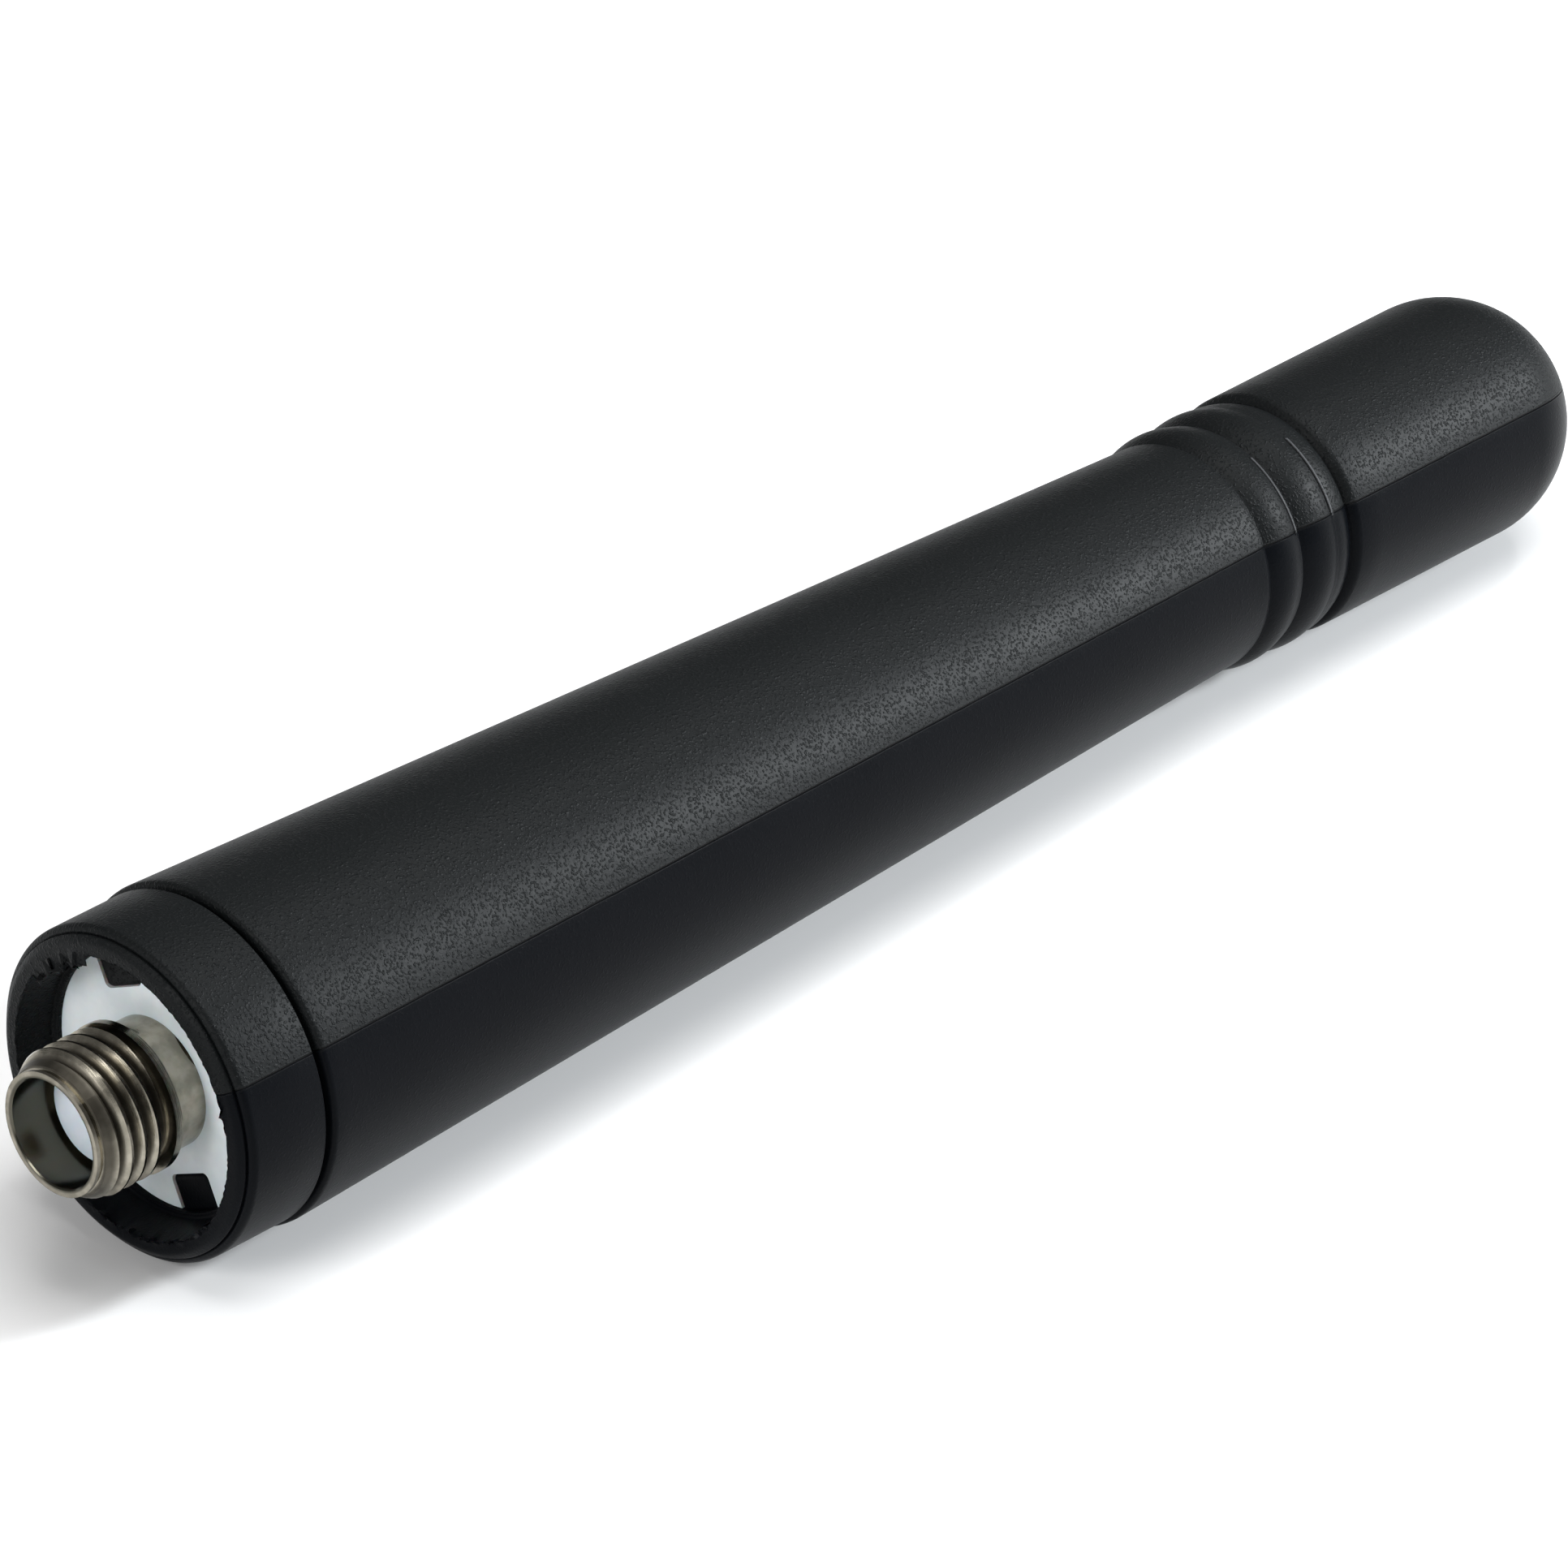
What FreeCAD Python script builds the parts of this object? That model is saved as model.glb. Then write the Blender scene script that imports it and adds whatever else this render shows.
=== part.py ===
import FreeCAD, Part
import math
import os
import Sketcher

# Stubby helical antenna with a screw-on coaxial jack, moulded over in black elastomer.
# Frame: +X runs along the antenna from the jack to the tip, +Z is up.
# Origin: on the jack's axis, at the face of its insulator, where a mating plug seats.
# All lengths are in millimetres.

doc = FreeCAD.newDocument("StubbyAntenna")

# ---------------------------------------------------------------------------
# Driving dimensions
# ---------------------------------------------------------------------------

DRIVING_SIZES = {
    # jack: thread, lip, ring and neck
    "thread_radius": 3.175,
    "thread_pitch": 0.7056,
    "thread_depth": 0.433,
    "thread_root_half": 0.045,
    "thread_cut_half": 0.324,
    "thread_cut_rise": 0.05,
    "thread_cut_setback": 1.8,
    "thread_cut_length": 3.08,
    "lip_setback": 2.0,
    "lip_radius": 2.655,
    "lip_length": 0.16,
    "lip_groove_depth": 0.14,
    "lip_groove_length": 0.1,
    "lead_in_length": 0.75,
    "lead_in_radius": 2.74,
    "thread_end": 1.25,
    "relief_radius": 2.7,
    "relief_length": 0.37,
    "ring_radius": 3.22,
    "ring_length": 0.34,
    "neck_radius": 2.8,
    "neck_flat_distance": 2.69,
    "neck_flat_length": 1.59,
    "neck_flat_turn": 39.0,
    "bore_radius": 2.32,
    "bore_chamfer": 0.06,
    # jack: hidden anchorage inside the moulding
    "flange_radius": 4.5,
    "flange_length": 2.0,
    "flange_notch_radius": 0.45,
    "flange_notch_count": 18,
    "tail_radius": 2.9,
    "tail_length": 3.25,
    "tail_groove_radius": 2.45,
    "tail_groove_length": 1.0,
    "tail_groove_inset": 1.05,
    # insulator, contact, retaining ring and potting
    "insulator_radius": 2.05,
    "insulator_length": 8.0,
    "contact_radius": 0.635,
    "contact_recess": 0.1,
    "contact_bore_radius": 0.47,
    "contact_bore_depth": 2.4,
    "contact_slot_width": 0.16,
    "contact_slot_depth": 1.8,
    "barb_radius": 0.85,
    "barb_start": 3.6,
    "barb_length": 0.6,
    "contact_body_end": 9.3,
    "pin_radius": 0.45,
    "pin_end": 13.0,
    "retainer_inner_radius": 1.3,
    "retainer_length": 0.8,
    # white disc behind the ring
    "disc_radius": 5.53,
    "disc_thickness": 1.6,
    "disc_face": 3.55,
    "key_inner_radius": 3.95,
    "key_outer_radius": 6.3,
    "key_width": 2.3,
    "key_corner": 0.28,
    # feed terminal and coil
    "terminal_start": 11.6,
    "terminal_radius": 2.4,
    "terminal_length": 1.8,
    "spigot_radius": 1.1,
    "spigot_length": 3.6,
    "former_radius": 2.4,
    "former_end": 81.0,
    "wire_radius": 0.4,
    "coil_radius": 2.83,
    "coil_start": 12.6,
    "coil_pitch": 2.6,
    "coil_turns": 25.0,
    "solder_radius": 0.85,
    "sleeve_start": 12.0,
    "sleeve_end": 79.5,
    "sleeve_inner_radius": 3.26,
    "sleeve_outer_radius": 3.6,
    "plug_radius": 3.6,
    "plug_length": 4.5,
    "plug_nose_length": 1.2,
    "plug_nose_radius": 2.2,
    # elastomer moulding
    "skirt_face": 1.6,
    "skirt_mouth_radius": 6.07,
    "skirt_flat_radius": 6.45,
    "skirt_face_radius": 6.87,
    "skirt_edge_rise": 0.29,
    "skirt_edge_radius": 0.42,
    "skirt_edge_length": 0.36,
    "skirt_foot_radius": 5.8,
    "skirt_depth": 1.72,
    "collar_radius": 7.19,
    "collar_top_radius": 7.22,
    "collar_end": 5.8,
    "groove_radius": 6.8,
    "groove_width": 0.3,
    "body_start_radius": 7.39,
    "body_end": 66.6,
    "body_end_radius": 5.49,
    "bead_root_radius": 5.42,
    "bead_gap": 0.12,
    "bead_one_length": 2.5,
    "bead_one_curve": 2.25,
    "bead_two_length": 3.5,
    "bead_two_rise": 2.1,
    "bead_two_crest_radius": 5.74,
    "bead_two_curve": 2.6,
    "tip_edge_radius": 0.6,
    "tip_edge_length": 0.45,
    "tip_start_radius": 5.83,
    "tip_end": 86.6,
    "tip_radius": 5.95,
    "mould_turn": -25.0,
}

sheet = doc.addObject("Spreadsheet::Sheet", "Sizes")
for row, (alias, number) in enumerate(DRIVING_SIZES.items(), start=1):
    sheet.set(f"A{row}", alias.replace("_", " "))
    sheet.set(f"B{row}", str(number))
    sheet.setAlias(f"B{row}", alias)
doc.recompute()


class Size:
    """A length that carries its number and the sheet expression that gives it."""

    def __init__(self, number, text):
        self.number = number
        self.text = text

    def __add__(self, other):
        return Size(self.number + other.number, f"{self.text} + {other.text}")

    def __sub__(self, other):
        return Size(self.number - other.number, f"{self.text} - ({other.text})")

    def __neg__(self):
        return Size(-self.number, f"-({self.text})")


def size(alias):
    return Size(DRIVING_SIZES[alias], f"Sizes.{alias}")


ZERO = Size(0.0, "0")


# ---------------------------------------------------------------------------
# Helpers for bodies and sketches
# ---------------------------------------------------------------------------

def make_body(name):
    body = doc.addObject("PartDesign::Body", name)
    body.Label = name
    return body


def make_sketch(body, name, plane):
    sketch = body.newObject("Sketcher::SketchObject", name)
    origin_plane = next(f for f in body.Origin.OriginFeatures if f.Role == plane + "_Plane")
    sketch.AttachmentSupport = [(origin_plane, "")]
    sketch.MapMode = "FlatFace"
    return sketch


def pin_point(sketch, edge, end, across, up):
    """Hold one end of an edge at two sheet-driven distances from the sketch's origin."""
    for kind, place in (("DistanceX", across), ("DistanceY", up)):
        if abs(place.number) < 1e-9:
            axis = -2 if kind == "DistanceX" else -1
            sketch.addConstraint(Sketcher.Constraint("PointOnObject", edge, end, axis))
            continue
        if place.number > 0:
            rule = Sketcher.Constraint(kind, -1, 1, edge, end, place.number)
        else:
            place = -place
            rule = Sketcher.Constraint(kind, edge, end, -1, 1, place.number)
        index = sketch.addConstraint(rule)
        sketch.setExpression(f"Constraints[{index}]", place.text)


def closed_outline(sketch, corners):
    """Draw a closed outline. A corner is (across, up) or (across, up, radius): a radius
    makes the edge that leaves the corner an arc that bulges away from the axis."""
    edges = []
    for here, after in zip(corners, corners[1:] + corners[:1]):
        start = FreeCAD.Vector(here[0].number, here[1].number, 0)
        stop = FreeCAD.Vector(after[0].number, after[1].number, 0)
        if len(here) == 2:
            edge = sketch.addGeometry(Part.LineSegment(start, stop), False)
            edges.append((edge, 1, 2))
            continue
        radius = here[2].number
        chord = stop - start
        half = chord.Length / 2
        rise = radius - math.sqrt(radius ** 2 - half ** 2)
        outward = FreeCAD.Vector(-chord.y, chord.x, 0).normalize() * rise
        if chord.x < 0:
            outward = -outward
        middle = (start + stop) * 0.5 + outward
        forwards = chord.cross(middle - start).z < 0
        first, last = (start, stop) if forwards else (stop, start)
        edge = sketch.addGeometry(Part.Arc(first, middle, last), False)
        edges.append((edge, 1, 2) if forwards else (edge, 2, 1))
        index = sketch.addConstraint(Sketcher.Constraint("Radius", edge, radius))
        sketch.setExpression(f"Constraints[{index}]", here[2].text)
    for (edge, start, _), (before, _, stop), corner in zip(edges, edges[-1:] + edges[:-1], corners):
        sketch.addConstraint(Sketcher.Constraint("Coincident", before, stop, edge, start))
        pin_point(sketch, edge, start, corner[0], corner[1])


def revolve(body, name, corners):
    """Turn an outline drawn in the XZ plane through a full circle about the X axis."""
    sketch = make_sketch(body, name + "_outline", "XZ")
    closed_outline(sketch, corners)
    solid = body.newObject("PartDesign::Revolution", name)
    solid.Profile = sketch
    solid.ReferenceAxis = (sketch, ["H_Axis"])
    solid.Angle = 360
    doc.recompute()
    return solid


def cut_round(body, name, corners):
    """Cut a full-circle groove or bore whose outline is drawn in the XZ plane."""
    sketch = make_sketch(body, name + "_outline", "XZ")
    closed_outline(sketch, corners)
    groove = body.newObject("PartDesign::Groove", name)
    groove.Profile = sketch
    groove.ReferenceAxis = (sketch, ["H_Axis"])
    groove.Angle = 360
    doc.recompute()
    return groove


def cut_box(body, name, plane, low, high):
    """Cut a slot whose rectangle is drawn in a plane, right through on both sides of it."""
    sketch = make_sketch(body, name + "_outline", plane)
    closed_outline(sketch, [(low[0], low[1]), (high[0], low[1]), (high[0], high[1]), (low[0], high[1])])
    pocket = body.newObject("PartDesign::Pocket", name)
    pocket.Profile = sketch
    pocket.Type = 1
    pocket.Midplane = True
    doc.recompute()
    return pocket


def turn_about_x(body, alias):
    """Clock a finished body about the antenna's axis by an angle from the sheet."""
    body.Placement = FreeCAD.Placement(
        FreeCAD.Vector(0, 0, 0), FreeCAD.Rotation(FreeCAD.Vector(1, 0, 0), DRIVING_SIZES[alias])
    )
    body.setExpression("Placement.Rotation.Angle", f"Sizes.{alias} * 1 deg")


PARALLEL_TO_X = 0.999
RADIUS_TOLERANCE = 0.01


def edges_along_x(shape, radius):
    """Names of the straight edges parallel to X whose distance from the axis is near radius."""
    names = []
    for index, edge in enumerate(shape.Edges, start=1):
        if edge.Degenerated or not isinstance(edge.Curve, Part.Line):
            continue
        if abs(edge.Curve.Direction.x) < PARALLEL_TO_X:
            continue
        point = edge.CenterOfMass
        if abs(math.hypot(point.y, point.z) - radius) < RADIUS_TOLERANCE:
            names.append(f"Edge{index}")
    return names


# ---------------------------------------------------------------------------
# Stations along the axis, worked out from the driving dimensions
# ---------------------------------------------------------------------------

lip_front = -size("lip_setback")
lip_back = lip_front + size("lip_length")
lip_groove_bottom = lip_back + size("lip_groove_length")
lead_in_start = lip_groove_bottom + size("lip_groove_length")
lead_in_end = lead_in_start + size("lead_in_length")
thread_end = size("thread_end")
ring_start = thread_end + size("relief_length")
ring_end = ring_start + size("ring_length")
disc_face = size("disc_face")
disc_back = disc_face + size("disc_thickness")
flange_end = disc_back + size("flange_length")
tail_groove_start = flange_end + size("tail_groove_inset")
tail_groove_end = tail_groove_start + size("tail_groove_length")
tail_end = flange_end + size("tail_length")
insulator_end = size("insulator_length")
retainer_end = insulator_end + size("retainer_length")
terminal_start = size("terminal_start")
terminal_end = terminal_start + size("terminal_length")
spigot_end = terminal_end + size("spigot_length")
sleeve_start = size("sleeve_start")
sleeve_end = size("sleeve_end")
plug_end = sleeve_end + size("plug_length")
plug_shoulder = plug_end - size("plug_nose_length")
skirt_face = size("skirt_face")
skirt_floor = skirt_face + size("skirt_depth")
groove_end = size("collar_end") + size("groove_width")
bead_one_start = size("body_end") + size("bead_gap")
bead_one_end = size("body_end") + size("bead_one_length")
bead_two_crest = bead_one_end + size("bead_two_rise")
bead_two_end = bead_one_end + size("bead_two_length")


# ---------------------------------------------------------------------------
# Jack
# ---------------------------------------------------------------------------

def build_connector_shell():
    """Turned brass barrel: lip, thread, relief, stop ring, neck, knurled flange and tail."""
    body = make_body("connector_shell")
    revolve(body, "shell_turning", [
        (lip_front, size("bore_radius") + size("bore_chamfer")),
        (lip_front, size("lip_radius")),
        (lip_back, size("lip_radius")),
        (lip_groove_bottom, size("lip_radius") - size("lip_groove_depth")),
        (lead_in_start, size("lead_in_radius")),
        (lead_in_end, size("thread_radius")),
        (thread_end, size("thread_radius")),
        (thread_end, size("relief_radius")),
        (ring_start, size("relief_radius")),
        (ring_start, size("ring_radius")),
        (ring_end, size("ring_radius")),
        (ring_end, size("neck_radius")),
        (disc_back, size("neck_radius")),
        (disc_back, size("flange_radius")),
        (flange_end, size("flange_radius")),
        (flange_end, size("tail_radius")),
        (tail_groove_start, size("tail_radius")),
        (tail_groove_start, size("tail_groove_radius")),
        (tail_groove_end, size("tail_groove_radius")),
        (tail_groove_end, size("tail_radius")),
        (tail_end, size("tail_radius")),
        (tail_end, size("insulator_radius")),
        (ZERO, size("insulator_radius")),
        (ZERO, size("bore_radius")),
        (lip_front + size("bore_chamfer"), size("bore_radius")),
    ])
    cut_thread(body)
    cut_neck_flats(body)
    cut_flange_notches(body)
    turn_about_x(body, "neck_flat_turn")
    return body


def cut_thread(body):
    """Cut the V of a right-hand screw thread from the lead-in to the relief."""
    sketch = make_sketch(body, "thread_tooth", "XZ")
    centre = -size("thread_cut_setback")
    top = size("thread_radius") + size("thread_cut_rise")
    root = size("thread_radius") - size("thread_depth")
    closed_outline(sketch, [
        (centre - size("thread_cut_half"), top),
        (centre - size("thread_root_half"), root),
        (centre + size("thread_root_half"), root),
        (centre + size("thread_cut_half"), top),
    ])
    helix = body.newObject("PartDesign::SubtractiveHelix", "thread")
    helix.Profile = sketch
    helix.ReferenceAxis = (sketch, ["H_Axis"])
    helix.Mode = 0
    helix.Reversed = False
    helix.setExpression("Pitch", "Sizes.thread_pitch")
    helix.setExpression("Height", "Sizes.thread_cut_length")
    doc.recompute()


def cut_neck_flats(body):
    """Cut two small spanner flats on opposite sides of the neck."""
    past_neck = size("neck_radius") + size("neck_radius")
    far = ring_end + size("neck_flat_length")
    cut_box(body, "neck_flat_above", "XZ", (ring_end, size("neck_flat_distance")), (far, past_neck))
    cut_box(body, "neck_flat_below", "XZ", (ring_end, -past_neck), (far, -size("neck_flat_distance")))


def cut_flange_notches(body):
    """Notch the flange's rim all round, so that the moulding can't turn on it."""
    sketch = make_sketch(body, "flange_notch_outline", "YZ")
    circle = sketch.addGeometry(
        Part.Circle(FreeCAD.Vector(0, DRIVING_SIZES["flange_radius"], 0), FreeCAD.Vector(0, 0, 1),
                    DRIVING_SIZES["flange_notch_radius"]), False)
    radius_rule = sketch.addConstraint(
        Sketcher.Constraint("Radius", circle, DRIVING_SIZES["flange_notch_radius"]))
    sketch.setExpression(f"Constraints[{radius_rule}]", "Sizes.flange_notch_radius")
    pin_point(sketch, circle, 3, ZERO, size("flange_radius"))
    notch = body.newObject("PartDesign::Pocket", "flange_notch")
    notch.Profile = sketch
    notch.Type = 1
    notch.Reversed = True
    doc.recompute()
    ring = body.newObject("PartDesign::PolarPattern", "flange_notches")
    ring.Originals = [notch]
    ring.Axis = (sketch, ["N_Axis"])
    ring.Angle = 360
    ring.Occurrences = int(DRIVING_SIZES["flange_notch_count"])
    body.Tip = ring
    doc.recompute()


def build_connector_insulator():
    """White insulator that fills the barrel and grips the contact's barb."""
    body = make_body("connector_insulator")
    barb_end = size("barb_start") + size("barb_length")
    revolve(body, "insulator_turning", [
        (ZERO, size("contact_radius")),
        (ZERO, size("insulator_radius")),
        (insulator_end, size("insulator_radius")),
        (insulator_end, size("contact_radius")),
        (barb_end, size("contact_radius")),
        (barb_end, size("barb_radius")),
        (size("barb_start"), size("barb_radius")),
        (size("barb_start"), size("contact_radius")),
    ])
    return body


def build_centre_contact():
    """Gold-plated contact: slotted socket in front, barb, body and solder pin behind."""
    body = make_body("centre_contact")
    barb_end = size("barb_start") + size("barb_length")
    socket_floor = size("contact_recess") + size("contact_bore_depth")
    revolve(body, "contact_turning", [
        (size("contact_recess"), size("contact_bore_radius")),
        (size("contact_recess"), size("contact_radius")),
        (size("barb_start"), size("contact_radius")),
        (size("barb_start"), size("barb_radius")),
        (barb_end, size("barb_radius")),
        (barb_end, size("contact_radius")),
        (size("contact_body_end"), size("contact_radius")),
        (size("contact_body_end"), size("pin_radius")),
        (size("pin_end"), size("pin_radius")),
        (size("pin_end"), ZERO),
        (socket_floor, ZERO),
        (socket_floor, size("contact_bore_radius")),
    ])
    half = Size(DRIVING_SIZES["contact_slot_width"] / 2, "Sizes.contact_slot_width / 2")
    slot_end = size("contact_recess") + size("contact_slot_depth")
    for plane in ("XY", "XZ"):
        cut_box(body, f"socket_slot_{plane}", plane, (ZERO, -half), (slot_end, half))
    return body


def build_retaining_ring():
    """Brass ring pressed into the barrel behind the insulator."""
    body = make_body("retaining_ring")
    revolve(body, "ring_turning", [
        (insulator_end, size("retainer_inner_radius")),
        (insulator_end, size("insulator_radius")),
        (retainer_end, size("insulator_radius")),
        (retainer_end, size("retainer_inner_radius")),
    ])
    return body


def build_rear_potting():
    """Epoxy that seals the barrel's rear round the contact before moulding."""
    body = make_body("rear_potting")
    revolve(body, "potting_fill", [
        (insulator_end, size("contact_radius")),
        (insulator_end, size("retainer_inner_radius")),
        (retainer_end, size("retainer_inner_radius")),
        (retainer_end, size("insulator_radius")),
        (tail_end, size("insulator_radius")),
        (tail_end, size("pin_radius")),
        (size("contact_body_end"), size("pin_radius")),
        (size("contact_body_end"), size("contact_radius")),
    ])
    return body


# ---------------------------------------------------------------------------
# Disc, feed and coil
# ---------------------------------------------------------------------------

def two_keys(body, name):
    """Sketch the two keys of the disc, above and below the axis, on the YZ plane."""
    sketch = make_sketch(body, name, "YZ")
    sketch.AttachmentOffset = FreeCAD.Placement(
        FreeCAD.Vector(0, 0, DRIVING_SIZES["disc_face"]), FreeCAD.Rotation())
    sketch.setExpression("AttachmentOffset.Base.z", "Sizes.disc_face")
    half = Size(DRIVING_SIZES["key_width"] / 2, "Sizes.key_width / 2")
    near = size("key_inner_radius")
    far = size("key_outer_radius")
    closed_outline(sketch, [(-half, near), (half, near), (half, far), (-half, far)])
    closed_outline(sketch, [(-half, -far), (half, -far), (half, -near), (-half, -near)])
    return sketch


def round_key_corners(body, name):
    """Round the inner corners of both keys."""
    half = DRIVING_SIZES["key_width"] / 2
    corner_radius = math.hypot(half, DRIVING_SIZES["key_inner_radius"])
    sharp = body.Tip
    fillet = body.newObject("PartDesign::Fillet", name)
    fillet.Base = (sharp, edges_along_x(sharp.Shape, corner_radius))
    fillet.setExpression("Radius", "Sizes.key_corner")
    doc.recompute()


def build_base_disc():
    """White nylon disc round the neck, keyed at two notches by the moulding."""
    body = make_body("base_disc")
    revolve(body, "disc_turning", [
        (disc_face, size("neck_radius")),
        (disc_face, size("disc_radius")),
        (disc_back, size("disc_radius")),
        (disc_back, size("neck_radius")),
    ])
    pocket = body.newObject("PartDesign::Pocket", "key_notches")
    pocket.Profile = two_keys(body, "key_notch_outline")
    pocket.Type = 1
    pocket.Reversed = True
    doc.recompute()
    round_key_corners(body, "key_notch_corners")
    turn_about_x(body, "mould_turn")
    return body


def build_feed_terminal():
    """Brass terminal: the contact's pin goes in its back, its spigot goes in the former."""
    body = make_body("feed_terminal")
    revolve(body, "terminal_turning", [
        (terminal_start, size("pin_radius")),
        (terminal_start, size("terminal_radius")),
        (terminal_end, size("terminal_radius")),
        (terminal_end, size("spigot_radius")),
        (spigot_end, size("spigot_radius")),
        (spigot_end, ZERO),
        (size("pin_end"), ZERO),
        (size("pin_end"), size("pin_radius")),
    ])
    return body


def build_coil_former():
    """Nylon rod that the coil is wound on."""
    body = make_body("coil_former")
    revolve(body, "former_turning", [
        (terminal_end, size("spigot_radius")),
        (terminal_end, size("former_radius")),
        (size("former_end"), size("former_radius")),
        (size("former_end"), ZERO),
        (spigot_end, ZERO),
        (spigot_end, size("spigot_radius")),
    ])
    return body


def build_helix_coil():
    """Sprung copper-plated wire wound in a right-hand helix: the radiating element."""
    body = make_body("helix_coil")
    sketch = make_sketch(body, "wire_section", "XZ")
    start = size("coil_start")
    middle = size("coil_radius")
    centre = FreeCAD.Vector(start.number, middle.number, 0)
    circle = sketch.addGeometry(
        Part.Circle(centre, FreeCAD.Vector(0, 0, 1), DRIVING_SIZES["wire_radius"]), False)
    radius_rule = sketch.addConstraint(
        Sketcher.Constraint("Radius", circle, DRIVING_SIZES["wire_radius"]))
    sketch.setExpression(f"Constraints[{radius_rule}]", "Sizes.wire_radius")
    pin_point(sketch, circle, 3, start, middle)
    helix = body.newObject("PartDesign::AdditiveHelix", "winding")
    helix.Profile = sketch
    helix.ReferenceAxis = (sketch, ["H_Axis"])
    helix.Mode = 0
    helix.setExpression("Pitch", "Sizes.coil_pitch")
    helix.setExpression("Height", "Sizes.coil_pitch * Sizes.coil_turns")
    doc.recompute()
    return body


def make_tube(name, start, stop, inner, outer):
    """Part tube between two stations on the X axis, from two cylinders."""
    along_x = FreeCAD.Rotation(FreeCAD.Vector(0, 1, 0), 90)
    cylinders = []
    for suffix, radius in (("_outside", outer), ("_inside", inner)):
        cylinder = doc.addObject("Part::Cylinder", name + suffix)
        cylinder.Placement = FreeCAD.Placement(FreeCAD.Vector(start.number, 0, 0), along_x)
        cylinder.setExpression("Placement.Base.x", start.text)
        cylinder.setExpression("Radius", radius.text)
        cylinder.setExpression("Height", (stop - start).text)
        cylinders.append(cylinder)
    tube = doc.addObject("Part::Cut", name)
    tube.Base, tube.Tool = cylinders
    tube.Label = name
    return tube


def build_shrink_sleeve():
    """Heat-shrink sleeve that keeps the elastomer from flowing between the coil's turns."""
    return make_tube("shrink_sleeve", sleeve_start, sleeve_end,
                     size("sleeve_inner_radius"), size("sleeve_outer_radius"))


def build_solder_joint(coil):
    """Solder that fills between the coil's first turn and the terminal."""
    blob = doc.addObject("Part::Sphere", "solder_blob")
    blob.setExpression("Radius", "Sizes.solder_radius")
    blob.setExpression("Placement.Base.x", size("coil_start").text)
    blob.setExpression("Placement.Base.z", size("coil_radius").text)
    room = make_tube("solder_room", sleeve_start, terminal_end,
                     size("terminal_radius"), size("sleeve_inner_radius"))
    wetted = doc.addObject("Part::Common", "solder_wetted")
    wetted.Base = blob
    wetted.Tool = room
    solder = doc.addObject("Part::Cut", "solder_joint")
    solder.Base = wetted
    solder.Tool = coil
    solder.Label = "solder_joint"
    return solder


def build_tip_plug():
    """Cap on the former's far end that centres it in the mould."""
    body = make_body("tip_plug")
    revolve(body, "plug_turning", [
        (sleeve_end, size("former_radius")),
        (sleeve_end, size("plug_radius")),
        (plug_shoulder, size("plug_radius")),
        (plug_end, size("plug_nose_radius")),
        (plug_end, ZERO),
        (size("former_end"), ZERO),
        (size("former_end"), size("former_radius")),
    ])
    return body


# ---------------------------------------------------------------------------
# Moulding
# ---------------------------------------------------------------------------

def add_dome(body):
    """Close the tip with half a ball of the tip's own radius."""
    dome = body.newObject("PartDesign::AdditiveSphere", "dome")
    dome.Angle1 = 0
    dome.Angle2 = 90
    dome.Angle3 = 360
    dome.setExpression("Radius", "Sizes.tip_radius")
    dome.Placement = FreeCAD.Placement(
        FreeCAD.Vector(DRIVING_SIZES["tip_end"], 0, 0),
        FreeCAD.Rotation(FreeCAD.Vector(0, 1, 0), 90))
    dome.setExpression("Placement.Base.x", "Sizes.tip_end")
    doc.recompute()


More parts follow.
